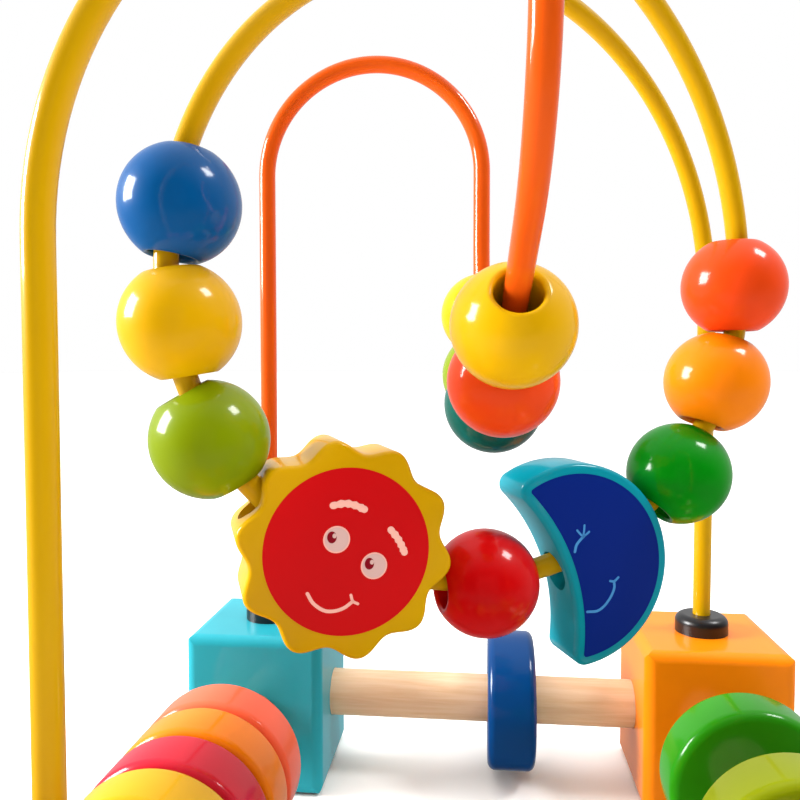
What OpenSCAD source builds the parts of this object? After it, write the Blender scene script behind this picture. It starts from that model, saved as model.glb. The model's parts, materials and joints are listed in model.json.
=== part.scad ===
// Bead maze: a frame of four corner blocks and four dowels with counting discs,
// two bent wires that stand in the blocks, and beads, a sun and a moon strung on the wires.
// The origin is the middle of the frame on the floor, X to the right, Y to the back, Z up.

/* [Frame] */
// Distance between block centres from left to right
span_x = 114; // [104:1:130]
// Distance between block centres from front to back
span_y = 110; // [104:1:130]
// Width and depth of a corner block
block_w = 35; // [30:0.5:40]
// Height of a corner block
block_h = 40; // [36:0.5:48]
// Rounding of the block edges
block_round = 2.5; // [1:0.25:4]
// Diameter of a dowel
dowel_d = 12; // [9:0.5:14]
// Wood left in a block between its two dowel holes and its middle
dowel_web = 1.5; // [1:0.25:3]
// Chamfer on the dowel ends
dowel_chamfer = 0.8; // [0.3:0.1:1.5]

/* [Wires] */
// Diameter of both coated wires
wire_d = 4.3; // [3:0.1:5]
// Depth that a wire reaches into its block
wire_seat = 14; // [10:0.5:20]
// Reach of the yellow loop's ends to the side, as a share of the way to the block centres
loop_side = 0.947; // [0.85:0.001:1]
// Reach of the yellow loop's ends to the front or back, as a share of the way to the block centres
loop_depth = 0.382; // [0.25:0.001:0.45]
// Height at which the yellow arches meet the loop
loop_z = 125; // [118:1:140]
// Lowest height of the orange wire between its arches
valley_z = 101; // [96:1:112]
// Bend radius of the orange valley
valley_r = 40; // [34:1:46]
// Climb of the orange wire in front of the valley, in degrees
slope = 33; // [24:1:40]
// Bend radius where the climb turns upright
rise_r = 34; // [26:1:40]
// Upright stretch of the orange wire below its arches
rise_h = 1.5; // [0.5:0.5:12]
// Side offset of the orange wire's inner leg at the back
back_leg_x = 0; // [-6:0.5:6]
// Side offset of the orange wire's inner leg at the front
front_leg_x = 7.5; // [0:0.5:12]

/* [Grommets] */
// Outer diameter of a rubber grommet
grommet_d = 13; // [11:0.5:16]
// Height of a grommet above its block
grommet_h = 4.5; // [3:0.25:6]
// Wall of the grommet's sleeve inside the block
sleeve_wall = 1.8; // [1.2:0.1:2.4]
// Rounding of the grommet's shoulder
shoulder_round = 2; // [1:0.25:2.5]

/* [Beads] */
// Diameter of a round bead
bead_d = 21; // [20:0.1:22.5]
// Length of a bead along its bore
bead_l = 18.6; // [17.6:0.1:19.6]
// Bore of a bead
bead_bore = 8; // [7:0.25:9]
// Place of the red bead on the loop, in degrees from the bottom
red_at = 1; // [-4:0.5:4]
// Place of the teal bead in the valley, in degrees from the bottom
teal_at = -1; // [-4:0.5:4]

/* [Sun] */
// Number of rays
rays = 10; // [8:2:14]
// Radius at the tip of a ray
sun_tip_r = 19.7; // [18.5:0.1:20.5]
// Radius between two rays
sun_root_r = 17.4; // [16.5:0.1:18.2]
// Thickness of the sun
sun_t = 15; // [13:0.5:18]
// Bore of the sun
sun_bore = 8.6; // [8.2:0.1:9.4]

/* [Moon] */
// Radius of the moon's round side
moon_r = 20; // [18:0.25:21]
// Width of the moon along its bore
moon_waist = 22.3; // [20:0.1:24]
// Radius of the moon's hollow side
hollow_r = 38; // [30:1:50]
// Rounding of the moon's tips
tip_r = 2.5; // [1.5:0.25:4]
// Lean of the moon against its bore, in degrees
moon_lean = 7; // [0:1:12]
// Thickness of the moon
moon_t = 12; // [10:0.5:15]
// Chamfer round both faces of the sun and the moon
plate_chamfer = 1; // [0.5:0.1:1.5]

/* [Discs] */
// Diameter of a counting disc
disc_d = 35; // [28:0.5:37]
// Thickness of a disc
disc_t = 12; // [9:0.25:13]
// Bevel on the disc edges
disc_bevel = 1.6; // [0.5:0.1:2.5]
// Share of the bare dowel on the left that lies behind the stack
left_share = 0.785; // [0.1:0.005:0.9]
// Share of the bare dowel on the right that lies behind the discs
right_share = 0.265; // [0.1:0.005:0.5]
// Share of the bare dowel on the right that lies between the discs
right_between = 0.285; // [0.1:0.005:0.5]
// Share of the bare dowel at the back that lies to the left of the disc
back_share = 0.62; // [0.1:0.005:0.9]
// Share of the bare dowel at the front that lies to the left of the discs
front_share = 0.35; // [0.1:0.005:0.5]
// Share of the bare dowel at the front that lies before the last disc
front_between = 0.26; // [0.1:0.005:0.4]

/* [Fit] */
// Gap round a dowel, wire or sleeve in its hole
hole_gap = 0.1; // [0.05:0.05:0.2]
// Gap at the blind end of a hole
end_gap = 0.3; // [0.1:0.1:0.6]
// Gap between a disc and its dowel
disc_gap = 0.5; // [0.3:0.05:0.7]
// Gap between neighbours on a wire or dowel
rest_gap = 0.3; // [0.2:0.05:0.5]
// Gap between the moon's round side and its neighbour, which lets the moon turn
turn_gap = 1.1; // [0.6:0.05:1.4]
// Gap between the moon's hollow side and its neighbour, which lets the moon turn
hollow_gap = 2.8; // [2:0.1:3.5]

/* [Hidden] */
$fn = 64;

// Paint and coating colours
paint_red = "#d62b32";
paint_coral = "#f0654a";
paint_crimson = "#c62b45";
paint_orange = "#f7992e";
paint_yellow = "#f7d51f";
paint_lime = "#9cc62f";
paint_green = "#2c9c3f";
paint_teal = "#2fb0c2";
paint_sea = "#1f8f8c";
paint_blue = "#1668b4";
pale_wood = "#e9cfae";
black_rubber = "#1d1c1e";
yellow_coat = "#f2c21b";
orange_coat = "#ee7a3c";

up = [0, 0, 1];
function level(turn) = [cos(turn), sin(turn), 0];

// Frame: the dowels meet at mid height of the blocks
dowel_z = block_h / 2;
dowel_seat = (block_w - dowel_d) / 2 - dowel_web;
inner_x = (span_x - block_w) / 2;
inner_y = (span_y - block_w) / 2;
dowel_hole_d = dowel_d + 2 * hole_gap;
wire_foot = block_h - wire_seat;
sleeve_bore = wire_d + 2 * hole_gap;
sleeve_d = sleeve_bore + 2 * sleeve_wall;
sleeve_hole_d = sleeve_d + 2 * hole_gap;

// Yellow wire: each arch runs from a corner block to one end of the loop
loop_x = loop_side * span_x / 2;
loop_y = loop_depth * span_y / 2;
loop_r = norm([loop_x, loop_y]);
loop_turn = atan2(loop_y, loop_x);
loop_centre = loop_z * up;
arch_run = [loop_x + span_x / 2, loop_y + span_y / 2];
arch_r = norm(arch_run) / 2;
arch_turn = atan2(arch_run.y, arch_run.x);
arch_centre = [(loop_x - span_x / 2) / 2, (loop_y - span_y / 2) / 2, loop_z];

// Orange wire: the valley lies in an upright plane from the back leg to the front leg
valley_run = [front_leg_x - back_leg_x, -span_y];
valley_turn = atan2(valley_run.y, valley_run.x);
function valley_at(along, height) =
    [back_leg_x, span_y / 2, height] + along * level(valley_turn);
slope_l = (norm(valley_run) - valley_r * (1 + sin(slope)) - rise_r * (1 - sin(slope))) / cos(slope);
slope_foot = [valley_r * (1 + sin(slope)), valley_z + valley_r * (1 - cos(slope))];
slope_head = slope_foot + slope_l * [cos(slope), sin(slope)];
rise_centre = slope_head + rise_r * [-sin(slope), cos(slope)];
small_arch_z = rise_centre.y + rise_h;

// Stretches of a wire stop just short of each other, and a thin ring closes each seam
seam_open = 0.1;
seam_l = 0.6;
seam_d = wire_d + 0.2 * seam_open;

// Beads: neighbours meet at the rims of their flats, which lean inwards on a bend
bead_flat = sqrt(pow(bead_d / 2, 2) - pow(bead_l / 2, 2));
function lean(radius) = asin(bead_d / 2 / radius);
function reach(radius) = bead_l / 2 * cos(lean(radius)) + bead_flat * sin(lean(radius));
function bend_step(radius, chord) = 2 * asin(chord / 2 / radius);
// Bow of a bent wire over a straight bore, and how far a piece can then hang off its wire
function bow(radius, half) = pow(half, 2) / 2 / radius;
function hang(radius, bore, half) = (bore - wire_d) / 2 - rest_gap - bow(radius, half);
bead_tuck = hang(loop_r, bead_bore, 0);
bead_hang = hang(loop_r, bead_bore, bead_l / 2);

bead_step = bend_step(loop_r - bead_tuck, 2 * reach(loop_r) + rest_gap);
moon_step = bend_step(loop_r, reach(loop_r) + moon_waist / 2 + turn_gap);
hollow_step = bend_step(loop_r, reach(loop_r) + moon_waist / 2 + bow(hollow_r, bead_d / 2) + hollow_gap);
sun_step = bend_step(loop_r, bead_d / 2 + sun_tip_r + rest_gap);
moon_at = red_at + hollow_step;
green_at = moon_at + moon_step;
amber_at = green_at + bead_step;
coral_at = amber_at + bead_step;
sun_at = red_at - sun_step;
lime_at = sun_at - sun_step;
yellow_at = lime_at - bead_step;
blue_at = yellow_at - bead_step;

valley_step = bend_step(valley_r, 2 * reach(valley_r) + rest_gap);
valley_hang = hang(valley_r, bead_bore, bead_l / 2);
rear_lime_at = teal_at - valley_step;
rear_yellow_at = rear_lime_at - valley_step;
rose_at = teal_at + valley_step;
front_yellow_l = bead_l + 2 * rest_gap - (slope - rose_at) * valley_r * PI / 180;

// Rotates a piece bored along X to lie along a wire in an upright plane
module on_wire(point, turn, climb) {
    translate(point) rotate([0, 0, turn]) rotate([0, -climb, 0]) children();
}

// Places a piece on the yellow wire, at degrees from the bottom of the loop,
// shifted away from the middle of the bend
module on_yellow(at, shift) {
    over = (abs(at) - 90) * loop_r / arch_r;
    if (abs(at) <= 90)
        on_wire(loop_centre + (loop_r + shift) * (sin(at) * level(loop_turn) - cos(at) * up), loop_turn, at)
            children();
    else
        rotate([0, 0, at > 0 ? 0 : 180])
            on_wire(arch_centre + (arch_r + shift) * (cos(over) * level(arch_turn) + sin(over) * up),
                    arch_turn, 90 + over)
                children();
}

// Places a piece in the orange valley, at degrees from its bottom
module on_valley(at, shift) {
    along = valley_r + (valley_r + shift) * sin(at);
    height = valley_z + valley_r - (valley_r + shift) * cos(at);
    on_wire(valley_at(along, height), valley_turn, at) children();
}

// Places a piece on the climb, hanging below the wire
module on_slope(run, drop) {
    point = slope_foot + run * [cos(slope), sin(slope)] + drop * [sin(slope), -cos(slope)];
    on_wire(valley_at(point.x, point.y), valley_turn, slope) children();
}

// Square with round corners
module soft_square(width, height) {
    square([width - 2 * block_round, height], center = true);
    square([width, height - 2 * block_round], center = true);
    for (x = [-1, 1], y = [-1, 1])
        translate([x * (width / 2 - block_round), y * (height / 2 - block_round)])
            circle(r = block_round);
}

// Corner block at a corner given by its signs, drilled for two dowels and a grommet
module block(side_x, side_y) {
    translate([side_x * span_x / 2, side_y * span_y / 2, 0])
        difference() {
            translate([0, 0, block_h / 2])
                intersection() {
                    linear_extrude(block_h, center = true) soft_square(block_w, block_w);
                    rotate([90, 0, 0]) linear_extrude(block_w, center = true) soft_square(block_w, block_h);
                    rotate([90, 0, 90]) linear_extrude(block_w, center = true) soft_square(block_w, block_h);
                }
            for (turn = [side_x > 0 ? 180 : 0, side_y > 0 ? -90 : 90])
                translate([0, 0, dowel_z]) rotate([0, 90, turn])
                    translate([0, 0, block_w / 2 - dowel_seat - end_gap])
                        cylinder(d = dowel_hole_d, h = block_w);
            translate([0, 0, wire_foot - end_gap]) cylinder(d = sleeve_hole_d, h = block_h);
        }
}

// Dowel along Z with chamfered ends
module dowel(length) {
    half = length / 2;
    rotate_extrude()
        polygon([
            [0, -half], [dowel_d / 2 - dowel_chamfer, -half], [dowel_d / 2, -half + dowel_chamfer],
            [dowel_d / 2, half - dowel_chamfer], [dowel_d / 2 - dowel_chamfer, half], [0, half]
        ]);
}

module dowel_across(side_y) {
    translate([0, side_y * span_y / 2, dowel_z]) rotate([0, 90, 0]) dowel(2 * (inner_x + dowel_seat));
}

module dowel_along(side_x) {
    translate([side_x * span_x / 2, 0, dowel_z]) rotate([90, 0, 0]) dowel(2 * (inner_y + dowel_seat));
}

// Rubber bush: a shouldered cap on the block and a sleeve round the wire inside it
module grommet(side_x, side_y) {
    translate([side_x * span_x / 2, side_y * span_y / 2, 0])
        rotate_extrude()
            difference() {
                union() {
                    translate([0, wire_foot]) square([sleeve_d / 2, wire_seat]);
                    translate([0, block_h]) square([grommet_d / 2, grommet_h - shoulder_round]);
                    translate([0, block_h]) square([grommet_d / 2 - shoulder_round, grommet_h]);
                    translate([grommet_d / 2 - shoulder_round, block_h + grommet_h - shoulder_round])
                        circle(r = shoulder_round);
                }
                square([sleeve_bore / 2, block_h + 2 * grommet_h]);
            }
}

// Stretch of wire bent in an upright plane, in degrees from level
module bend(centre, turn, radius, from, sweep) {
    trim = seam_open / radius * 180 / PI;
    translate(centre) rotate([90, 0, turn]) rotate([0, 0, from + trim])
        rotate_extrude(angle = sweep - 2 * trim) translate([radius, 0]) circle(d = wire_d);
}

// Straight stretch of wire
module straight(point, turn, climb, length) {
    on_wire(point, turn, climb) rotate([0, 90, 0])
        translate([0, 0, seam_open]) cylinder(d = wire_d, h = length - 2 * seam_open);
}

// Ring round the seam between two stretches
module seam(point, turn, climb) {
    on_wire(point, turn, climb) rotate([0, 90, 0]) cylinder(d = seam_d, h = seam_l, center = true);
}

// Upright stretch with a seam at its top
module upright(x, y, low, high) {
    straight([x, y, low], 0, 90, high - low);
    seam([x, y, high], 0, 90);
}

// Drilled wooden bead with its bore along X
module bead(tone) {
    color(tone) rotate([0, 90, 0]) rotate_extrude()
        intersection() {
            circle(d = bead_d);
            translate([bead_bore / 2, -bead_l / 2]) square([bead_d, bead_l]);
        }
}

// Plate in the XZ plane whose rim is chamfered at both faces
module plate(outline, inset_outline, thickness) {
    count = len(outline);
    half = thickness / 2;
    heights = [-half, plate_chamfer - half, half - plate_chamfer, half];
    rings = [inset_outline, outline, outline, inset_outline];
    last = len(rings) - 1;
    points = [for (i = [0:last]) for (p = rings[i]) [p.x, p.y, heights[i]]];
    rim = [for (i = [0:last - 1]) for (k = [0:count - 1])
        [i * count + k, (i + 1) * count + k, (i + 1) * count + (k + 1) % count, i * count + (k + 1) % count]];
    bottom = [for (k = [0:count - 1]) k];
    top = [for (k = [count - 1:-1:0]) last * count + k];
    rotate([90, 0, 0]) polyhedron(points, concat([bottom], rim, [top]));
}

// Wavy outline of the sun, with a hollow at each end of its bore
ray_steps = 12;
function sun_outline(inset) = let(steps = ray_steps * rays, middle = (sun_tip_r + sun_root_r) / 2,
    wave = (sun_tip_r - sun_root_r) / 2)
    [for (k = [0:steps - 1]) let(a = k * 360 / steps)
        (middle - inset - wave * cos(rays * a)) * [cos(a), sin(a)]];

// Outline of the moon: round side, tip, hollow side, tip
moon_mid = moon_waist / 2 - moon_r;
hollow_mid = -moon_waist / 2 - hollow_r;
tip_reach = moon_r - tip_r;
tip_back = (pow(tip_reach, 2) - pow(hollow_r + tip_r, 2) + pow(moon_mid - hollow_mid, 2))
    / (2 * (moon_mid - hollow_mid));
tip_mid = [moon_mid - tip_back, sqrt(pow(tip_reach, 2) - pow(tip_back, 2))];
round_end = atan2(tip_mid.y, tip_mid.x - moon_mid);
hollow_end = atan2(tip_mid.y, tip_mid.x - hollow_mid);
function arc(centre, radius, from, to, steps) =
    [for (k = [0:steps]) let(a = from + (to - from) * k / steps) centre + radius * [cos(a), sin(a)]];
round_steps = 48;
hollow_steps = 14;
tip_steps = 8;
function moon_outline(inset) = let(tip = tip_r - inset)
    concat(
        arc([moon_mid, 0], moon_r - inset, -round_end, round_end, round_steps),
        [for (k = [1:tip_steps - 1]) arc(tip_mid, tip, round_end, 180 + hollow_end, tip_steps)[k]],
        arc([hollow_mid, 0], hollow_r + inset, hollow_end, -hollow_end, hollow_steps),
        [for (k = [1:tip_steps - 1])
            arc([tip_mid.x, -tip_mid.y], tip, 180 - hollow_end, 360 - round_end, tip_steps)[k]]
    );

// Counting disc with its bore along Z
module disc(tone) {
    half = disc_t / 2;
    color(tone) rotate_extrude()
        polygon([
            [dowel_d / 2 + disc_gap, -half], [disc_d / 2 - disc_bevel, -half],
            [disc_d / 2, disc_bevel - half], [disc_d / 2, half - disc_bevel],
            [disc_d / 2 - disc_bevel, half], [dowel_d / 2 + disc_gap, half]
        ]);
}

disc_step = disc_t + rest_gap;
module disc_along(side_x, y, tone) {
    translate([side_x * span_x / 2, y, dowel_z]) rotate([90, 0, 0]) disc(tone);
}
module disc_across(side_y, x, tone) {
    translate([x, side_y * span_y / 2, dowel_z]) rotate([0, 90, 0]) disc(tone);
}
left_bare = 2 * inner_y - 3 * disc_step - disc_t;
right_bare = 2 * inner_y - 2 * disc_t;
back_bare = 2 * inner_x - disc_t;
front_bare = 2 * inner_x - disc_step - 2 * disc_t;
left_y = inner_y - left_share * left_bare - disc_t / 2;
right_y = inner_y - right_share * right_bare - disc_t / 2;
right_step = disc_t + right_between * right_bare;
back_x = -inner_x + back_share * back_bare + disc_t / 2;
front_x = -inner_x + front_share * front_bare + disc_t / 2;
front_step = disc_step + disc_t + front_between * front_bare;

// Frame pieces
module block_front_left() { color(paint_red) block(-1, -1); }
module block_front_right() { color(paint_green) block(1, -1); }
module block_back_left() { color(paint_teal) block(-1, 1); }
module block_back_right() { color(paint_orange) block(1, 1); }
module dowel_front() { color(pale_wood) dowel_across(-1); }
module dowel_back() { color(pale_wood) dowel_across(1); }
module dowel_left() { color(pale_wood) dowel_along(-1); }
module dowel_right() { color(pale_wood) dowel_along(1); }
module grommet_front_left() { color(black_rubber) grommet(-1, -1); }
module grommet_front_right() { color(black_rubber) grommet(1, -1); }
module grommet_back_left() { color(black_rubber) grommet(-1, 1); }
module grommet_back_right() { color(black_rubber) grommet(1, 1); }

// Yellow wire: leg and arch at each end, and the loop that hangs between them
module yellow_wire() {
    color(yellow_coat) union() {
        for (half = [0, 180]) rotate([0, 0, half]) {
            upright(-span_x / 2, -span_y / 2, wire_foot, loop_z);
            bend(arch_centre, arch_turn, arch_r, 0, 180);
            seam([loop_x, loop_y, loop_z], 0, 90);
        }
        bend(loop_centre, loop_turn, loop_r, 180, 180);
    }
}

// Orange wire: back leg, back arch, valley, climb, front arch, front leg
module orange_wire() {
    color(orange_coat) union() {
        upright(-span_x / 2, span_y / 2, wire_foot, small_arch_z);
        bend([(back_leg_x - span_x / 2) / 2, span_y / 2, small_arch_z], 0,
             (back_leg_x + span_x / 2) / 2, 0, 180);
        upright(back_leg_x, span_y / 2, valley_z + valley_r, small_arch_z);
        seam([back_leg_x, span_y / 2, valley_z + valley_r], 0, 90);
        bend(valley_at(valley_r, valley_z + valley_r), valley_turn, valley_r, 180, 90 + slope);
        seam(valley_at(slope_foot.x, slope_foot.y), valley_turn, slope);
        straight(valley_at(slope_foot.x, slope_foot.y), valley_turn, slope, slope_l);
        seam(valley_at(slope_head.x, slope_head.y), valley_turn, slope);
        bend(valley_at(rise_centre.x, rise_centre.y), valley_turn, rise_r, slope - 90, 90 - slope);
        seam([front_leg_x, -span_y / 2, rise_centre.y], 0, 90);
        upright(front_leg_x, -span_y / 2, rise_centre.y, small_arch_z);
        bend([(front_leg_x + span_x / 2) / 2, -span_y / 2, small_arch_z], 0,
             (span_x / 2 - front_leg_x) / 2, 0, 180);
        upright(span_x / 2, -span_y / 2, wire_foot, small_arch_z);
    }
}

// Pieces on the yellow wire
module bead_blue() { on_yellow(blue_at, -bead_tuck) bead(paint_blue); }
module bead_yellow() { on_yellow(yellow_at, -bead_tuck) bead(paint_yellow); }
module bead_lime() { on_yellow(lime_at, bead_hang) bead(paint_lime); }
module bead_red() { on_yellow(red_at, bead_hang) bead(paint_red); }
module bead_green() { on_yellow(green_at, bead_hang) bead(paint_green); }
module bead_amber() { on_yellow(amber_at, -bead_tuck) bead(paint_orange); }
module bead_coral() { on_yellow(coral_at, -bead_tuck) bead(paint_coral); }

module sun() {
    color(paint_yellow) on_yellow(sun_at, hang(loop_r, sun_bore, sun_tip_r))
        difference() {
            plate(sun_outline(0), sun_outline(plate_chamfer), sun_t);
            rotate([0, 90, 0]) cylinder(d = sun_bore, h = 3 * sun_tip_r, center = true);
        }
}

module moon() {
    color(paint_teal) on_yellow(moon_at, hang(loop_r, bead_bore, moon_waist / 2))
        difference() {
            rotate([0, moon_lean, 0]) plate(moon_outline(0), moon_outline(plate_chamfer), moon_t);
            rotate([0, 90, 0]) cylinder(d = bead_bore, h = 3 * moon_r, center = true);
        }
}

// Pieces on the orange wire
module bead_rear_yellow() { on_valley(rear_yellow_at, valley_hang) bead(paint_yellow); }
module bead_rear_lime() { on_valley(rear_lime_at, valley_hang) bead(paint_lime); }
module bead_teal() { on_valley(teal_at, valley_hang) bead(paint_sea); }
module bead_rose() { on_valley(rose_at, valley_hang) bead(paint_coral); }
module bead_front_yellow() { on_slope(front_yellow_l, bead_tuck) bead(paint_yellow); }

// Counting discs: four on the left, two on the right, one at the back, three at the front
module disc_left_coral() { disc_along(-1, left_y, paint_coral); }
module disc_left_orange() { disc_along(-1, left_y - disc_step, paint_orange); }
module disc_left_crimson() { disc_along(-1, left_y - 2 * disc_step, paint_crimson); }
module disc_left_yellow() { disc_along(-1, left_y - 3 * disc_step, paint_yellow); }
module disc_right_green() { disc_along(1, right_y, paint_green); }
module disc_right_lime() { disc_along(1, right_y - right_step, paint_lime); }
module disc_back_blue() { disc_across(1, back_x, paint_blue); }
module disc_front_red() { disc_across(-1, front_x, paint_red); }
module disc_front_yellow() { disc_across(-1, front_x + disc_step, paint_yellow); }
module disc_front_green() { disc_across(-1, front_x + front_step, paint_green); }

block_front_left();
block_front_right();
block_back_left();
block_back_right();
dowel_front();
dowel_back();
dowel_left();
dowel_right();
grommet_front_left();
grommet_front_right();
grommet_back_left();
grommet_back_right();
yellow_wire();
orange_wire();
bead_blue();
bead_yellow();
bead_lime();
sun();
bead_red();
moon();
bead_green();
bead_amber();
bead_coral();
bead_rear_yellow();
bead_rear_lime();
bead_teal();
bead_rose();
bead_front_yellow();
disc_left_coral();
disc_left_orange();
disc_left_crimson();
disc_left_yellow();
disc_right_green();
disc_right_lime();
disc_back_blue();
disc_front_red();
disc_front_yellow();
disc_front_green();
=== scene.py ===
"""Bead maze: turned and lacquered pieces, coated wires and printed faces over the shared frame."""
import json
import math

import bmesh
import bpy
from bpy.props import FloatProperty, FloatVectorProperty, IntProperty, PointerProperty
from mathutils import Matrix, Vector


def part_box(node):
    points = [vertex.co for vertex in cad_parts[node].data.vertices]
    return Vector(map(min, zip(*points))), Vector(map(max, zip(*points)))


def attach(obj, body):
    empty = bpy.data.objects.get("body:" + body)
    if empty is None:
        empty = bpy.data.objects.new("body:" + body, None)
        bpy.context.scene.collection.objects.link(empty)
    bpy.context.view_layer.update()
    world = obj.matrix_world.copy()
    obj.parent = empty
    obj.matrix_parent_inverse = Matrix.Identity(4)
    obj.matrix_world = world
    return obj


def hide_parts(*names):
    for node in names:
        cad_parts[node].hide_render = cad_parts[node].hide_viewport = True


bl_info = {
    "name": "Bead maze",
    "version": (1, 0, 0),
    "blender": (4, 5, 0),
    "location": "View3D > Sidebar > Bead maze",
    "description": "Builds the beads, discs, wires, sun and moon of a bead maze on its frame",
    "category": "Object",
}

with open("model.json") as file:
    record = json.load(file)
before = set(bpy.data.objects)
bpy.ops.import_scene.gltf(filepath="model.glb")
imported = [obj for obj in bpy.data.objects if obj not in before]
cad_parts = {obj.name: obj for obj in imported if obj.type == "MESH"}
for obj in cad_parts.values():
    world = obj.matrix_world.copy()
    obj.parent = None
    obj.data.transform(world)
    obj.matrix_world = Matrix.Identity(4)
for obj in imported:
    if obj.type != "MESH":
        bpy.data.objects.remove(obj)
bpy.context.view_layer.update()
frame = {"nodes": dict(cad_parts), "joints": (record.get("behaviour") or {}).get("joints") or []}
JOINTS = {joint["child"]: joint for joint in frame["joints"]}
MM = 0.001
UP = Vector((0.0, 0.0, 1.0))
WHITE = (1.0, 1.0, 1.0, 1.0)
SAME_POINT = 1e-7
SHARP = math.radians(35)
WIRE_SHARP = math.radians(50)
WIRE_SIDES = 32

# Sockets of a colour mix, which share their names with sockets of other types
MIX_A, MIX_B, MIX_RESULT = 6, 7, 2

# Share of a tone that is left, per channel, where the paint or the coat is deepest
DEEP_PAINT = (0.86, 0.86, 0.86)
DEEP_COAT = (0.94, 0.9, 0.88)

# Scale of the grain along a dowel, against one across it
GRAIN_ALONG = 0.06

# Layers of ink below the face of a plate, which keep the edge of the ink closed
INK_SUNK = 3


def linear(code):
    """Linear colour of an sRGB hex value."""
    values = []
    for start in (1, 3, 5):
        part = int(code[start:start + 2], 16) / 255
        values.append(part / 12.92 if part <= 0.04045 else ((part + 0.055) / 1.055) ** 2.4)
    return tuple(values)


def length(name, words, value):
    """Property for a length given in millimetres."""
    return FloatProperty(name=name, description=words, default=value * MM, min=0.0,
                         subtype="DISTANCE", unit="LENGTH")


def colour(name, words, code):
    """Property for a colour given as a hex value."""
    return FloatVectorProperty(name=name, description=words, default=linear(code),
                               subtype="COLOR", min=0.0, max=1.0)


class MazeSizes(bpy.types.PropertyGroup):
    """Sizes of the pieces that are made here."""
    wire_d: length("Wire", "Diameter of both coated wires", 4.3)
    bead_d: length("Bead", "Diameter of a bead", 21.0)
    bead_bore: length("Bead bore", "Bore of a bead", 8.0)
    bead_rim: length("Bead rim", "Rounding where the bore meets the ball", 0.7)
    disc_d: length("Disc", "Diameter of a counting disc", 35.0)
    disc_t: length("Disc thickness", "Thickness of a counting disc", 12.0)
    disc_bore: length("Disc bore", "Bore of a counting disc", 13.0)
    disc_edge: length("Disc edge", "Rounding of the outer edges of a disc", 2.0)
    rays: IntProperty(name="Rays", description="Number of rays of the sun", default=10, min=6)
    sun_tip: length("Sun tip", "Radius at the tip of a ray", 19.7)
    sun_root: length("Sun root", "Radius between two rays", 17.4)
    sun_bore: length("Sun bore", "Bore of the sun", 8.6)
    sun_panel: length("Sun panel", "Radius of the printed round panel of the sun", 14.9)
    sun_t: length("Sun thickness", "Thickness of the sun", 15.0)
    moon_t: length("Moon thickness", "Thickness of the moon", 12.0)
    moon_lean: FloatProperty(name="Moon lean", description="Lean of the moon against its bore",
                             default=math.radians(7), subtype="ANGLE", unit="ROTATION")
    plate_edge: length("Plate edge", "Rounding round the faces of the sun and the moon", 1.0)
    moon_r: length("Moon", "Radius of the moon's round side", 20.0)
    moon_waist: length("Moon waist", "Width of the moon along its bore", 22.3)
    hollow_r: length("Moon hollow", "Radius of the moon's hollow side", 38.0)
    tip_r: length("Moon tip", "Rounding of the moon's tips", 2.5)
    moon_rim: length("Moon rim", "Width of the moon's rim round its printed panel", 1.9)
    ink: length("Ink", "Height of a layer of printing ink", 0.035)


class MazeColours(bpy.types.PropertyGroup):
    """Colours of the lacquers, coats and inks."""
    red: colour("Red", "Red lacquer", "#c50205")
    coral: colour("Coral", "Coral lacquer", "#de420e")
    crimson: colour("Crimson", "Crimson lacquer", "#c51a30")
    orange: colour("Orange", "Orange lacquer", "#ec7d04")
    yellow: colour("Yellow", "Yellow lacquer", "#d09f01")
    lime: colour("Lime", "Lime lacquer", "#768a01")
    green: colour("Green", "Green lacquer", "#01830a")
    teal: colour("Teal", "Teal lacquer", "#279cab")
    sea: colour("Sea green", "Sea green lacquer", "#085348")
    blue: colour("Blue", "Blue lacquer", "#004d88")
    yellow_coat: colour("Yellow coat", "Coat of the tall wire", "#c29602")
    orange_coat: colour("Orange coat", "Coat of the short wire", "#d2510d")
    wood: colour("Wood", "Pale wood of the dowels", "#dfbe9b")
    grain: colour("Grain", "Darker grain of the dowels", "#d2ab82")
    rubber: colour("Rubber", "Rubber of the grommets", "#151416")
    sun_red: colour("Sun red", "Ink of the sun's panel", "#c6070d")
    moon_blue: colour("Moon blue", "Ink of the moon's panel", "#002078")
    salmon: colour("Salmon", "Salmon lacquer of a disc", "#f26240")
    leaf: colour("Leaf green", "Leaf green lacquer of a disc", "#258106")
    navy: colour("Navy", "Deep blue lacquer of a disc", "#00376d")
    lemon: colour("Lemon green", "Lemon green lacquer of a disc", "#869104")
    moon_teal: colour("Moon teal", "Lacquer of the moon", "#058c9e")
    rose: colour("Rose ink", "Ink of the brows, the smile and the rims of the eyes", "#f7bcae")
    pearl: colour("Pearl ink", "Ink of the eyes", "#dcb6b2")
    wine: colour("Wine ink", "Ink of the pupils", "#86061c")
    sky: colour("Light blue ink", "Ink of the moon's eye and smile", "#4389c8")
    floor: colour("Floor", "Pale floor", "#f7f7f5")


def add_node(tree, kind, links=(), **settings):
    """Adds a node, sets its inputs or properties and links its sockets."""
    node = tree.nodes.new(kind)
    for key, value in settings.items():
        if hasattr(node, key):
            setattr(node, key, value)
        else:
            node.inputs[key.replace("_", " ")].default_value = value
    for socket, source in links:
        tree.links.new(source, node.inputs[socket])
    return node


def new_material(name):
    """Empty node material and its tree."""
    material = bpy.data.materials.new(name)
    material.use_nodes = True
    material.node_tree.nodes.clear()
    return material, material.node_tree


def close_material(tree, shader):
    """Links the shader to the material's output."""
    add_node(tree, "ShaderNodeOutputMaterial", [("Surface", shader.outputs["BSDF"])])


def per_metre(size_mm):
    """Texture scale that makes one feature of a pattern this many millimetres wide."""
    return 1.0 / (size_mm * MM)


def opaque(tone):
    """Colour of a tone with full alpha."""
    return tuple(tone) + (1.0,)


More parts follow.
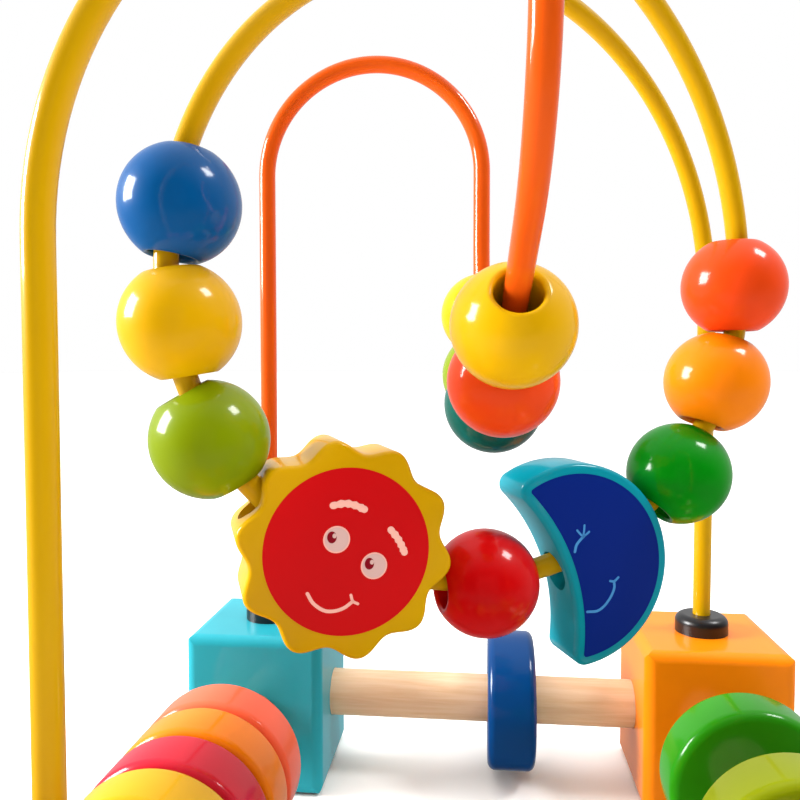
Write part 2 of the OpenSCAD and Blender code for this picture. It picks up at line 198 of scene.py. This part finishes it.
def mottled(tree, pattern, tone, share):
    """Colour that runs from a deeper share of a tone to the tone, as a pattern says."""
    mix = add_node(tree, "ShaderNodeMix", [("Factor", pattern.outputs["Fac"])], data_type="RGBA")
    mix.inputs[MIX_A].default_value = opaque(c * left for c, left in zip(tone, share))
    mix.inputs[MIX_B].default_value = opaque(tone)
    return mix.outputs[MIX_RESULT]


def lacquered_wood(name, tone):
    """Gloss lacquer on turned beech: a clear coat over even paint with a faint ripple."""
    material, tree = new_material(name)
    place = add_node(tree, "ShaderNodeTexCoord")
    ripple = add_node(tree, "ShaderNodeTexNoise", [("Vector", place.outputs["Object"])],
                      Scale=per_metre(3.5), Detail=3.0, Roughness=0.55)
    patchy = add_node(tree, "ShaderNodeTexNoise", [("Vector", place.outputs["Object"])],
                      Scale=per_metre(9.0), Detail=2.0)
    paint = mottled(tree, patchy, tone, DEEP_PAINT)
    bump = add_node(tree, "ShaderNodeBump", [("Height", ripple.outputs["Fac"])],
                    Strength=0.09, Distance=0.25 * MM)
    shader = add_node(tree, "ShaderNodeBsdfPrincipled",
                      [("Base Color", paint), ("Normal", bump.outputs["Normal"])],
                      Roughness=0.45, Specular_IOR_Level=0.04, IOR=1.5,
                      Coat_Weight=0.5, Coat_Roughness=0.13)
    close_material(tree, shader)
    return material


def bare_beech(name, wood, grain, along_x):
    """Sanded beech dowel: pale, matt, with fine streaks along its length."""
    material, tree = new_material(name)
    place = add_node(tree, "ShaderNodeTexCoord")
    squeeze = (GRAIN_ALONG, 1.0, 1.0) if along_x else (1.0, GRAIN_ALONG, 1.0)
    stretch = add_node(tree, "ShaderNodeMapping", [("Vector", place.outputs["Object"])],
                       Scale=squeeze)
    streak = add_node(tree, "ShaderNodeTexNoise", [("Vector", stretch.outputs["Vector"])],
                      Scale=per_metre(1.6), Detail=6.0, Roughness=0.6, Distortion=0.4)
    ramp = add_node(tree, "ShaderNodeValToRGB", [("Fac", streak.outputs["Fac"])])
    for stop, position, tone in zip(ramp.color_ramp.elements, (0.34, 0.62), (grain, wood)):
        stop.position = position
        stop.color = opaque(tone)
    bump = add_node(tree, "ShaderNodeBump", [("Height", streak.outputs["Fac"])],
                    Strength=0.2, Distance=0.2 * MM)
    shader = add_node(tree, "ShaderNodeBsdfPrincipled",
                      [("Base Color", ramp.outputs["Color"]), ("Normal", bump.outputs["Normal"])],
                      Roughness=0.55, IOR=1.5)
    close_material(tree, shader)
    return material


def coated_wire(name, tone):
    """Thick dipped vinyl coat on steel wire: smooth and glossy, with faint smears."""
    material, tree = new_material(name)
    place = add_node(tree, "ShaderNodeTexCoord")
    smear = add_node(tree, "ShaderNodeTexNoise", [("Vector", place.outputs["Object"])],
                     Scale=per_metre(9.0), Detail=2.0, Roughness=0.5)
    coat = mottled(tree, smear, tone, DEEP_COAT)
    bump = add_node(tree, "ShaderNodeBump", [("Height", smear.outputs["Fac"])],
                    Strength=0.05, Distance=0.4 * MM)
    shader = add_node(tree, "ShaderNodeBsdfPrincipled",
                      [("Base Color", coat), ("Normal", bump.outputs["Normal"])],
                      Roughness=0.4, Specular_IOR_Level=0.05, IOR=1.5,
                      Coat_Weight=0.7, Coat_Roughness=0.1)
    close_material(tree, shader)
    return material


def plain_surface(name, tone, roughness, gloss=0.08):
    """Even surface such as printing ink, moulded rubber or a painted floor."""
    material, tree = new_material(name)
    shader = add_node(tree, "ShaderNodeBsdfPrincipled", Base_Color=opaque(tone),
                      Roughness=roughness, Specular_IOR_Level=gloss, IOR=1.5)
    close_material(tree, shader)
    return material


def lacquer(tone):
    """Lacquer of one colour, made once."""
    name = "lacquered beech, " + tone.replace("_", " ")
    found = bpy.data.materials.get(name)
    return found or lacquered_wood(name, getattr(bpy.context.scene.maze_colours, tone))


def ink(tone):
    """Silk-screened printing ink of one colour, made once: flat and slightly glossy."""
    name = "printing ink, " + tone.replace("_", " ")
    found = bpy.data.materials.get(name)
    return found or plain_surface(name, getattr(bpy.context.scene.maze_colours, tone), 0.38)


def show(name, data):
    """New object of a mesh, a light or a camera, at the origin of the scene."""
    piece = bpy.data.objects.new(name, data)
    bpy.context.scene.collection.objects.link(piece)
    return piece


def set_in_place(mesh, place):
    """Moves a mesh to its place and smooths its faces up to sharp edges."""
    mesh.transform(place)
    mesh.shade_smooth()
    mesh.set_sharp_from_angle(angle=SHARP)


def finish_mesh(name, shape, place, material):
    """Turns a bmesh into an object with outward normals, smooth faces and a material."""
    bmesh.ops.remove_doubles(shape, verts=shape.verts, dist=SAME_POINT)
    bmesh.ops.recalc_face_normals(shape, faces=shape.faces)
    mesh = bpy.data.meshes.new(name)
    shape.to_mesh(mesh)
    shape.free()
    set_in_place(mesh, place)
    mesh.materials.append(material)
    return show(name, mesh)


def bridge(shape, low, high):
    """Band of faces between two closed loops of points."""
    count = len(low)
    for k in range(count):
        m = (k + 1) % count
        shape.faces.new((low[k], low[m], high[m], high[k]))


def along(axis, centre):
    """Place of a piece turned about X whose bore runs along an axis."""
    return Matrix.Translation(centre) @ Vector(axis).to_track_quat("X", "Z").to_matrix().to_4x4()


def middle(node):
    """Middle of a node's box."""
    low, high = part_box(node)
    return (Vector(low) + Vector(high)) / 2


def bore_axis(node):
    """Direction of a piece's bore, from the joint that it moves on."""
    joint = JOINTS[node]
    axis = Vector(joint["axis"])
    if joint["type"] == "hinge" and not joint.get("continuous"):
        return axis.cross(middle(node) - Vector(joint["pos_m"])).normalized()
    return axis


def turned(name, profile, place, material, segments=96):
    """Closed profile of (distance along X, radius) points turned about X."""
    shape = bmesh.new()
    rings = []
    for step in range(segments):
        angle = math.tau * step / segments
        y, z = math.cos(angle), math.sin(angle)
        rings.append([shape.verts.new((x, r * y, r * z)) for x, r in profile])
    for step in range(segments):
        bridge(shape, rings[step], rings[(step + 1) % segments])
    return finish_mesh(name, shape, place, material)


def arc(centre, radius, start, end, steps):
    """Points on an arc, in degrees."""
    points = []
    for k in range(steps + 1):
        a = math.radians(start + (end - start) * k / steps)
        points.append((centre[0] + radius * math.cos(a), centre[1] + radius * math.sin(a)))
    return points


def stroke(points, width, tuft=0.0):
    """Outline of a line with round ends, even in width or with tufted edges."""
    half = width / 2
    path = [Vector(p) for p in points]
    left, right = [], []
    for k, point in enumerate(path):
        ahead = (path[min(k + 1, len(path) - 1)] - path[max(k - 1, 0)]).normalized()
        side = Vector((-ahead.y, ahead.x)) * half * (1.0 + tuft * math.cos(k * math.pi / 2))
        left.append(point + side)
        right.append(point - side)
    start = math.degrees(math.atan2((left[0] - path[0]).y, (left[0] - path[0]).x))
    end = math.degrees(math.atan2((right[-1] - path[-1]).y, (right[-1] - path[-1]).x))
    head = arc(path[-1], half, end, end + 180, 8)
    tail = arc(path[0], half, start, start + 180, 8)
    return [tuple(p) for p in right[1:-1]] + head + [tuple(p) for p in reversed(left[1:-1])] + tail


def curve_through(points, steps=8):
    """Smooth line through a few points."""
    path = [Vector(p) for p in points]
    path = [2 * path[0] - path[1]] + path + [2 * path[-1] - path[-2]]
    line = []
    for k in range(1, len(path) - 2):
        a, b, c, d = path[k - 1:k + 3]
        for s in range(steps):
            t = s / steps
            line.append(0.5 * (2 * b + (c - a) * t + (2 * a - 5 * b + 4 * c - d) * t * t
                               + (3 * b - a - 3 * c + d) * t ** 3))
    return line + [path[-2]]


def millimetres(points):
    """Points given in millimetres, in metres."""
    return [Vector(p) * MM for p in points]


def printed(name, outlines, place, base, layer, material):
    """Thin layers of ink over a plate's face, from just under the face to their height."""
    shape = bmesh.new()
    heights = (base - INK_SUNK * layer, base + layer)
    for outline in outlines:
        low, high = [[shape.verts.new((x, y, z)) for x, y in outline] for z in heights]
        bridge(shape, low, high)
        shape.faces.new(high)
        shape.faces.new(list(reversed(low)))
    return finish_mesh(name, shape, place, material)


def oval(x, y, wide, high, sides):
    """Outline of an oval given in millimetres."""
    ring = arc((0.0, 0.0), 1.0, 0, 360, sides)[:-1]
    return [((x + wide * a) * MM, (y + high * b) * MM) for a, b in ring]


def plate(name, outline, thickness, edge, bore, place, material, lean=0.0):
    """Plate with a rounded rim, drilled at a lean to X, from an outline that takes an inset."""
    steps = 5
    half = thickness / 2
    rings = []
    for side in (-1, 1):
        part = []
        for k in range(steps + 1):
            a = math.pi / 2 * k / steps
            part.append((edge * (1 - math.sin(a)), side * (half - edge * (1 - math.cos(a)))))
        rings += part if side < 0 else list(reversed(part))
    shape = bmesh.new()
    loops = [[shape.verts.new((x, y, height)) for x, y in outline(inset)]
             for inset, height in rings]
    for low, high in zip(loops, loops[1:]):
        bridge(shape, low, high)
    shape.faces.new(list(reversed(loops[0])))
    shape.faces.new(loops[-1])
    body = finish_mesh(name + "_blank", shape, Matrix.Identity(4), material)
    reach = 4 * thickness
    drill_profile = [(-reach, 0.0), (-reach, bore / 2), (reach, bore / 2), (reach, 0.0)]
    drill = turned(name + "_drill", drill_profile, Matrix.Rotation(lean, 4, "Z"), material, 48)
    cut = body.modifiers.new("bore", "BOOLEAN")
    cut.operation = "DIFFERENCE"
    cut.solver = "EXACT"
    cut.object = drill
    mesh = evaluated_mesh(body)
    for done in (drill, body):
        bpy.data.objects.remove(done)
    mesh.name = name
    set_in_place(mesh, place)
    return show(name, mesh)


def evaluated_mesh(piece):
    """Plain mesh of an object with its modifiers applied."""
    bpy.context.view_layer.update()
    depsgraph = bpy.context.evaluated_depsgraph_get()
    return bpy.data.meshes.new_from_object(piece.evaluated_get(depsgraph), depsgraph=depsgraph)


def loop_frame(node):
    """Place of a plate on the loop: X level along the loop, Y up and Z out of its front face."""
    joint = JOINTS[node]
    axis = Vector(joint["axis"])
    level = Vector((axis.x, axis.y, 0.0)).normalized()
    if level.x < 0:
        level = -level
    out = level.cross(UP)
    turn = Matrix((level, UP, out)).transposed().to_4x4()
    return Matrix.Translation(joint["pos_m"]) @ turn, math.atan2(axis.z, axis.dot(level))


def wire_tree(name):
    """Node tree that sweeps a round wire along a path of edges."""
    tree = bpy.data.node_groups.new(name, "GeometryNodeTree")
    face = tree.interface
    face.new_socket("Path", in_out="INPUT", socket_type="NodeSocketGeometry")
    sockets = {
        "radius": face.new_socket("Wire radius", in_out="INPUT", socket_type="NodeSocketFloat"),
        "sides": face.new_socket("Sides", in_out="INPUT", socket_type="NodeSocketInt"),
        "coat": face.new_socket("Coat", in_out="INPUT", socket_type="NodeSocketMaterial"),
    }
    face.new_socket("Wire", in_out="OUTPUT", socket_type="NodeSocketGeometry")
    given = add_node(tree, "NodeGroupInput")
    path = add_node(tree, "GeometryNodeMeshToCurve", [("Mesh", given.outputs["Path"])])
    ring = add_node(tree, "GeometryNodeCurvePrimitiveCircle",
                    [("Radius", given.outputs["Wire radius"]),
                     ("Resolution", given.outputs["Sides"])])
    swept = add_node(tree, "GeometryNodeCurveToMesh",
                     [("Curve", path.outputs["Curve"]), ("Profile Curve", ring.outputs["Curve"])])
    swept.inputs["Fill Caps"].default_value = True
    smooth = add_node(tree, "GeometryNodeSetShadeSmooth", [("Geometry", swept.outputs["Mesh"])])
    real = add_node(tree, "GeometryNodeRealizeInstances",
                    [("Geometry", smooth.outputs["Geometry"])])
    coated = add_node(tree, "GeometryNodeSetMaterial",
                      [("Geometry", real.outputs["Geometry"]), ("Material", given.outputs["Coat"])])
    add_node(tree, "NodeGroupOutput", [("Wire", coated.outputs["Geometry"])])
    return tree, {key: socket.identifier for key, socket in sockets.items()}


def bend(centre, direction, radius, start, end, step=2.0):
    """Points of a bend in an upright plane, in degrees from level, in millimetres."""
    count = max(2, round(abs(end - start) / step))
    flat = Vector((math.cos(direction), math.sin(direction), 0.0))
    points = []
    for k in range(count + 1):
        a = math.radians(start + (end - start) * k / count)
        points.append(Vector(centre) + radius * (math.cos(a) * flat + math.sin(a) * UP))
    return points


# Course of the wires in millimetres, as in the part's source
SPAN = Vector((57.0, 55.0))
LOOP_SHARE = (0.947, 0.382)
LOOP = Vector((LOOP_SHARE[0] * SPAN.x, LOOP_SHARE[1] * SPAN.y))
FOOT_Z = 26.0
LOOP_Z = 125.0
VALLEY_Z = 101.0
VALLEY_R = 40.0
SLOPE = 33.0
RISE_R = 34.0
RISE_H = 1.5
FRONT_LEG_X = 7.5


def yellow_path():
    """Leg, arch, hanging loop, arch and leg of the tall wire."""
    run = LOOP + SPAN
    arch_turn = math.atan2(run.y, run.x)
    arch_r = run.length / 2
    centre = (LOOP - SPAN) / 2
    first = [Vector((-SPAN.x, -SPAN.y, FOOT_Z))]
    first += bend((centre.x, centre.y, LOOP_Z), arch_turn, arch_r, 180, 0)
    hanging = bend((0, 0, LOOP_Z), math.atan2(LOOP.y, LOOP.x), LOOP.length, 0, -180)
    last = [Vector((-p.x, -p.y, p.z)) for p in reversed(first)]
    return first + hanging[1:-1] + last


def orange_path():
    """Leg, small arch, valley, climb, small arch and leg of the short wire."""
    run = Vector((FRONT_LEG_X, -2 * SPAN.y))
    turn = math.atan2(run.y, run.x)
    flat = Vector((math.cos(turn), math.sin(turn), 0.0))
    start = Vector((0.0, SPAN.y, 0.0))
    sine, cosine = math.sin(math.radians(SLOPE)), math.cos(math.radians(SLOPE))
    climb = (run.length - VALLEY_R * (1 + sine) - RISE_R * (1 - sine)) / cosine
    head_z = VALLEY_Z + VALLEY_R * (1 - cosine) + climb * sine
    rise_z = head_z + RISE_R * cosine
    top_z = rise_z + RISE_H
    path = [Vector((-SPAN.x, SPAN.y, FOOT_Z))]
    path += bend((-SPAN.x / 2, SPAN.y, top_z), 0.0, SPAN.x / 2, 180, 0)
    valley = start + VALLEY_R * flat + (VALLEY_Z + VALLEY_R) * UP
    path += bend(valley, turn, VALLEY_R, 180, 270 + SLOPE)
    rise = start + (run.length - RISE_R) * flat + rise_z * UP
    path += bend(rise, turn, RISE_R, SLOPE - 90, 0)
    small_r = (SPAN.x - FRONT_LEG_X) / 2
    path += bend((FRONT_LEG_X + small_r, -SPAN.y, top_z), 0.0, small_r, 180, 0)
    path.append(Vector((SPAN.x, -SPAN.y, FOOT_Z)))
    return path


BEADS = {
    "bead_blue": "blue", "bead_yellow": "yellow", "bead_lime": "lime", "bead_red": "red",
    "bead_green": "green", "bead_amber": "orange", "bead_coral": "coral",
    "bead_rear_yellow": "yellow", "bead_rear_lime": "lime", "bead_teal": "sea",
    "bead_rose": "coral", "bead_front_yellow": "yellow",
}
DISCS = {
    "disc_left_coral": "salmon", "disc_left_orange": "orange", "disc_left_crimson": "crimson",
    "disc_left_yellow": "yellow", "disc_right_green": "leaf", "disc_right_lime": "lemon",
    "disc_back_blue": "navy", "disc_front_red": "red", "disc_front_yellow": "yellow",
    "disc_front_green": "green",
}
BLOCKS = {
    "block_front_left": "red", "block_front_right": "green",
    "block_back_left": "teal", "block_back_right": "orange",
}
WIRES = {"yellow_wire": ("yellow_coat", yellow_path), "orange_wire": ("orange_coat", orange_path)}


# Printed faces in millimetres from the middle of the plate, each line with its width
SUN_EYES = ((-2.0, 2.33), (4.7, -2.76))
SUN_BROWS = {
    "left_brow": ((-2.6, 8.35), (-0.5, 8.6), (1.3, 8.2), (3.0, 7.4)),
    "right_brow": ((7.8, 3.5), (8.9, 2.1), (9.7, 0.7), (10.3, -0.7)),
}
BROW_W = 1.25
BROW_TUFT = 0.16
BROW_STEPS = 6
SUN_LINES = {
    "smile": (((-7.2, -6.85), (-6.2, -8.6), (-4.4, -10.0),
               (-2.6, -10.3), (-0.8, -9.9), (0.75, -8.9)), 0.62),
    "cheek": (((0.5, -7.7), (0.85, -8.8), (1.75, -9.35)), 0.5),
}
MOON_LINES = {
    "lid": (((-0.5, 3.0), (-0.2, 4.2), (0.6, 5.2), (1.4, 5.9)), 0.55),
    "first_lash": (((-0.05, 7.1), (0.4, 6.6), (0.9, 6.1)), 0.42),
    "second_lash": (((1.5, 8.0), (1.4, 6.8), (1.2, 5.8)), 0.42),
    "third_lash": (((2.5, 6.7), (2.0, 6.3), (1.4, 5.9)), 0.42),
    "smile": (((2.3, -9.0), (4.4, -9.0), (6.0, -8.1),
               (7.4, -6.4), (8.1, -4.8), (8.1, -3.8)), 0.52),
    "cheek": (((7.2, -3.3), (8.1, -3.4), (9.0, -2.7)), 0.45),
}

# Ovals of the sun's eyes: shift from the middle, half width and height, sides, ink and layer
EYE_PARTS = {
    "eye_rims": (0.0, 0.0, 2.4, 2.4, 32, "rose", 2),
    "eyes": (0.0, 0.0, 2.15, 2.15, 32, "pearl", 3),
    "pupils": (-0.85, 0.45, 0.85, 1.05, 32, "wine", 4),
    "glints": (-0.4, 0.7, 0.36, 0.42, 16, "pearl", 5),
}

# Lights: kind, place in metres, width in metres or angle, power, and if gloss mirrors them
LIGHTS = {
    "window": ("AREA", (-0.97, -0.1, 0.43), 0.42, 24.0, True),
    "lamp": ("AREA", (0.64, 0.0, 0.92), 0.26, 7.0, True),
    "front": ("AREA", (0.1, -1.1, 0.25), 0.9, 4.5, False),
    "sky": ("SUN", (-0.25, 0.2, 1.2), math.radians(70), 2.5, False),
}
LIGHT_AIM = Vector((0.0, 0.0, 0.09))

# Direction in which the room is brightest, above and behind the toy
GLOW_WAY = (0.0, 0.75, 0.66)

# The floor ends in front of the toy, so that less light comes back from the camera's side
FLOOR_HALF = 6.0
FLOOR_PLACE = (0.0, 5.7, -0.0002)

# Camera fitted to the photograph
CAMERA_PLACE = (-0.0002, -0.1511, 0.1086)
CAMERA_YAW = math.radians(-5.87)
CAMERA_PITCH = math.radians(2.52)
CAMERA_ROLL = math.radians(-0.03)
CAMERA_LENS = 35.09
CAMERA_SENSOR = 36.0
CAMERA_NEAR = 0.005


def stand_for(piece, node, body=None):
    """Rides a piece on its body in place of a node."""
    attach(piece, body or node)
    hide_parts(node)


def turn_pieces(tones, profile):
    """Turns a piece for each node in the table, on the axis of its bore."""
    for node, tone in tones.items():
        place = along(bore_axis(node), middle(node))
        stand_for(turned(node + "_turned", profile, place, lacquer(tone)), node)


def print_both_sides(node, prints, place, thickness, height):
    """Lays the inks on the front of a plate, and mirrored on its back."""
    for side, sign in (("front", 1), ("back", -1)):
        for name, outlines, tone, layer in prints:
            base = thickness / 2 + (layer - 1) * height
            shown = place @ Matrix.Diagonal((1.0, 1.0, sign, 1.0))
            piece = printed(f"{node}_{name}_{side}", outlines, shown, base, height, ink(tone))
            if sign < 0:
                piece.data.flip_normals()
            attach(piece, node)


def light_room(scene):
    """White room for the camera, with a glow from above and behind for everything else."""
    world = bpy.data.worlds.new("white room")
    world.use_nodes = True
    tree = world.node_tree
    tree.nodes.clear()
    seen = add_node(tree, "ShaderNodeLightPath")
    way = add_node(tree, "ShaderNodeTexCoord")
    lean = add_node(tree, "ShaderNodeVectorMath", [(0, way.outputs["Generated"])],
                    operation="DOT_PRODUCT")
    lean.inputs[1].default_value = GLOW_WAY
    glow = add_node(tree, "ShaderNodeMapRange", [("Value", lean.outputs["Value"])],
                    From_Min=-0.25, From_Max=0.8, To_Min=0.02, To_Max=0.9)
    soft = add_node(tree, "ShaderNodeBackground", [("Strength", glow.outputs["Result"])],
                    Color=WHITE)
    white = add_node(tree, "ShaderNodeBackground", Color=WHITE, Strength=1.0)
    both = add_node(tree, "ShaderNodeMixShader",
                    [("Fac", seen.outputs["Is Camera Ray"]),
                     (1, soft.outputs["Background"]), (2, white.outputs["Background"])])
    add_node(tree, "ShaderNodeOutputWorld", [("Surface", both.outputs["Shader"])])
    scene.world = world


def hang_lights():
    """Hangs the lights and turns them to the toy."""
    for name, (kind, place, size, power, mirrored) in LIGHTS.items():
        data = bpy.data.lights.new(name, kind)
        data.energy = power
        if kind == "SUN":
            data.angle = size
        else:
            data.size = size
        light = show(name, data)
        light.location = place
        light.rotation_euler = (LIGHT_AIM - Vector(place)).to_track_quat("-Z", "Y").to_euler()
        light.visible_glossy = mirrored


def set_camera(scene):
    """Sets the camera from its place, its direction and its roll."""
    data = bpy.data.cameras.new("camera")
    data.sensor_width = CAMERA_SENSOR
    data.lens = CAMERA_LENS
    data.clip_start = CAMERA_NEAR
    camera = show("camera", data)
    level = math.cos(CAMERA_PITCH)
    ahead = Vector((math.sin(CAMERA_YAW) * level, math.cos(CAMERA_YAW) * level,
                    -math.sin(CAMERA_PITCH)))
    roll = Matrix.Rotation(CAMERA_ROLL, 3, "Z").to_quaternion()
    camera.location = CAMERA_PLACE
    camera.rotation_mode = "QUATERNION"
    camera.rotation_quaternion = ahead.to_track_quat("-Z", "Y") @ roll
    scene.camera = camera


class MazeOperator:
    """What all the operators share."""
    bl_options = {"REGISTER", "UNDO"}

    def execute(self, context):
        self.build(context.scene.maze_sizes, context.scene.maze_colours)
        return {"FINISHED"}


class MAZE_OT_frame(MazeOperator, bpy.types.Operator):
    """Gives the blocks, dowels and grommets their lacquer, wood and rubber"""
    bl_idname = "maze.frame"
    bl_label = "Finish the frame"

    def build(self, sizes, colours):
        rubber = plain_surface("moulded rubber, black", colours.rubber, 0.32, 0.5)
        across = bare_beech("sanded beech, across", colours.wood, colours.grain, True)
        lengthwise = bare_beech("sanded beech, along", colours.wood, colours.grain, False)
        for name, node in frame["nodes"].items():
            if name in BLOCKS:
                finish = lacquer(BLOCKS[name])
            elif name.startswith("dowel"):
                finish = across if name in ("dowel_front", "dowel_back") else lengthwise
            elif name.startswith("grommet"):
                finish = rubber
            else:
                continue
            node.data.materials.clear()
            node.data.materials.append(finish)


class MAZE_OT_wires(MazeOperator, bpy.types.Operator):
    """Sweeps the two coated wires along their courses"""
    bl_idname = "maze.wires"
    bl_label = "Sweep the wires"

    def build(self, sizes, colours):
        tree, inputs = wire_tree("coated wire")
        for node, (coat, course) in WIRES.items():
            points = [p * MM for p in course()]
            mesh = bpy.data.meshes.new(node + "_path")
            mesh.from_pydata(points, [(k, k + 1) for k in range(len(points) - 1)], [])
            path = show(node + "_path", mesh)
            sweep = path.modifiers.new("wire", "NODES")
            sweep.node_group = tree
            sweep[inputs["radius"]] = sizes.wire_d / 2
            sweep[inputs["sides"]] = WIRE_SIDES
            name = "vinyl coated wire, " + coat.split("_")[0]
            sweep[inputs["coat"]] = coated_wire(name, getattr(colours, coat))
            swept = evaluated_mesh(path)
            path.modifiers.remove(sweep)
            bpy.data.objects.remove(path)
            swept.set_sharp_from_angle(angle=WIRE_SHARP)
            stand_for(show(node + "_swept", swept), node, "frame")


class MAZE_OT_beads(MazeOperator, bpy.types.Operator):
    """Turns the beads, each with a rounded bore"""
    bl_idname = "maze.beads"
    bl_label = "Turn the beads"

    def build(self, sizes, colours):
        ball, bore, rim = sizes.bead_d / 2, sizes.bead_bore / 2, sizes.bead_rim
        height = bore + rim
        reach = math.sqrt((ball - rim) ** 2 - height ** 2)
        lean = math.degrees(math.atan2(height, reach))
        profile = arc((0.0, 0.0), ball, 180 - lean, lean, 48)
        profile += arc((reach, height), rim, lean, -90, 8)[1:]
        profile += arc((-reach, height), rim, 270, 180 - lean, 8)[:-1]
        turn_pieces(BEADS, profile)


class MAZE_OT_discs(MazeOperator, bpy.types.Operator):
    """Turns the counting discs, with soft edges"""
    bl_idname = "maze.discs"
    bl_label = "Turn the discs"

    def build(self, sizes, colours):
        half, radius, bore = sizes.disc_t / 2, sizes.disc_d / 2, sizes.disc_bore / 2
        edge = sizes.disc_edge
        rim = edge / 4
        profile = arc((-half + edge, radius - edge), edge, 180, 90, 8)
        profile += arc((half - edge, radius - edge), edge, 90, 0, 8)
        profile += arc((half - rim, bore + rim), rim, 0, -90, 4)
        profile += arc((-half + rim, bore + rim), rim, 270, 180, 4)
        turn_pieces(DISCS, profile)


class MAZE_OT_sun(MazeOperator, bpy.types.Operator):
    """Cuts the sun and prints a smiling face on both sides"""
    bl_idname = "maze.sun"
    bl_label = "Cut and print the sun"

    def build(self, sizes, colours):
        place, tilt = loop_frame("sun")
        mean = (sizes.sun_tip + sizes.sun_root) / 2
        wave = (sizes.sun_tip - sizes.sun_root) / 2
        steps = 24 * sizes.rays

        def outline(inset):
            points = []
            for k in range(steps):
                a = math.tau * k / steps
                r = mean - inset - wave * math.cos(sizes.rays * a)
                points.append((r * math.cos(a), r * math.sin(a)))
            return points

        body = plate("sun_cut", outline, sizes.sun_t, sizes.plate_edge, sizes.sun_bore,
                     place @ Matrix.Rotation(tilt, 4, "Z"), lacquer("yellow"))
        stand_for(body, "sun")
        prints = [("panel", [arc((0.0, 0.0), sizes.sun_panel, 0, 360, 96)[:-1]], "sun_red", 1)]
        for name, (right, up, wide, high, sides, tone, layer) in EYE_PARTS.items():
            ovals = [oval(x + right, y + up, wide, high, sides) for x, y in SUN_EYES]
            prints.append((name, ovals, tone, layer))
        for name, points in SUN_BROWS.items():
            line = curve_through(millimetres(points), BROW_STEPS)
            prints.append((name, [stroke(line, BROW_W * MM, BROW_TUFT)], "rose", 2))
        for name, (points, width) in SUN_LINES.items():
            line = curve_through(millimetres(points))
            prints.append((name, [stroke(line, width * MM)], "rose", 2))
        print_both_sides("sun", prints, place, sizes.sun_t, sizes.ink)


class MAZE_OT_moon(MazeOperator, bpy.types.Operator):
    """Cuts the moon and prints a sleeping face on both sides"""
    bl_idname = "maze.moon"
    bl_label = "Cut and print the moon"

    def build(self, sizes, colours):
        place, tilt = loop_frame("moon")
        waist, tip = sizes.moon_waist / 2, sizes.tip_r
        round_x, hollow_x = waist - sizes.moon_r, -waist - sizes.hollow_r
        gap = round_x - hollow_x
        back = ((sizes.moon_r - tip) ** 2 - (sizes.hollow_r + tip) ** 2 + gap ** 2) / (2 * gap)
        tip_x, tip_y = round_x - back, math.sqrt((sizes.moon_r - tip) ** 2 - back ** 2)
        round_end = math.degrees(math.atan2(tip_y, tip_x - round_x))
        hollow_end = math.degrees(math.atan2(tip_y, tip_x - hollow_x))

        def outline(inset):
            points = arc((round_x, 0), sizes.moon_r - inset, -round_end, round_end, 96)
            points += arc((tip_x, tip_y), tip - inset, round_end, 180 + hollow_end, 12)[1:-1]
            points += arc((hollow_x, 0), sizes.hollow_r + inset, hollow_end, -hollow_end, 32)
            points += arc((tip_x, -tip_y), tip - inset, 180 - hollow_end, 360 - round_end, 12)[1:-1]
            return points

        turn = Matrix.Rotation(tilt - sizes.moon_lean, 4, "Z")
        body = plate("moon_cut", outline, sizes.moon_t, sizes.plate_edge, sizes.bead_bore,
                     place @ turn, lacquer("moon_teal"), sizes.moon_lean)
        stand_for(body, "moon")
        panel = [tuple((turn @ Vector((x, y, 0.0))).to_2d()) for x, y in outline(sizes.moon_rim)]
        prints = [("panel", [panel], "moon_blue", 1)]
        centre = (turn @ Vector((round_x, 0.0, 0.0))).to_2d()
        for name, (points, width) in MOON_LINES.items():
            line = [p + centre for p in curve_through(millimetres(points))]
            prints.append((name, [stroke(line, width * MM)], "sky", 2))
        print_both_sides("moon", prints, place, sizes.moon_t, sizes.ink)


class MAZE_OT_stage(MazeOperator, bpy.types.Operator):
    """Sets the pale floor, the soft lights and the camera"""
    bl_idname = "maze.stage"
    bl_label = "Set the stage"

    def build(self, sizes, colours):
        scene = bpy.context.scene
        shape = bmesh.new()
        bmesh.ops.create_grid(shape, x_segments=1, y_segments=1, size=FLOOR_HALF)
        floor = finish_mesh("floor", shape, Matrix.Translation(FLOOR_PLACE),
                            plain_surface("matt painted board", colours.floor, 0.7))
        floor.visible_glossy = False
        scene.view_settings.view_transform = "Standard"
        light_room(scene)
        hang_lights()
        set_camera(scene)


class MAZE_PT_panel(bpy.types.Panel):
    """Lists the steps in the order that they run"""
    bl_idname = "MAZE_PT_panel"
    bl_label = "Bead maze"
    bl_space_type = "VIEW_3D"
    bl_region_type = "UI"
    bl_category = "Bead maze"

    def draw(self, context):
        for operator in STEPS:
            self.layout.operator(operator.bl_idname)


STEPS = (MAZE_OT_frame, MAZE_OT_wires, MAZE_OT_beads, MAZE_OT_discs,
         MAZE_OT_sun, MAZE_OT_moon, MAZE_OT_stage)
CLASSES = (MazeSizes, MazeColours) + STEPS + (MAZE_PT_panel,)


def register():
    for cls in CLASSES:
        bpy.utils.register_class(cls)
    bpy.types.Scene.maze_sizes = PointerProperty(type=MazeSizes)
    bpy.types.Scene.maze_colours = PointerProperty(type=MazeColours)


def unregister():
    del bpy.types.Scene.maze_colours
    del bpy.types.Scene.maze_sizes
    for cls in reversed(CLASSES):
        bpy.utils.unregister_class(cls)


def main():
    register()
    for operator in STEPS:
        group, name = operator.bl_idname.split(".")
        getattr(getattr(bpy.ops, group), name)()


if __name__ == "__main__":
    main()
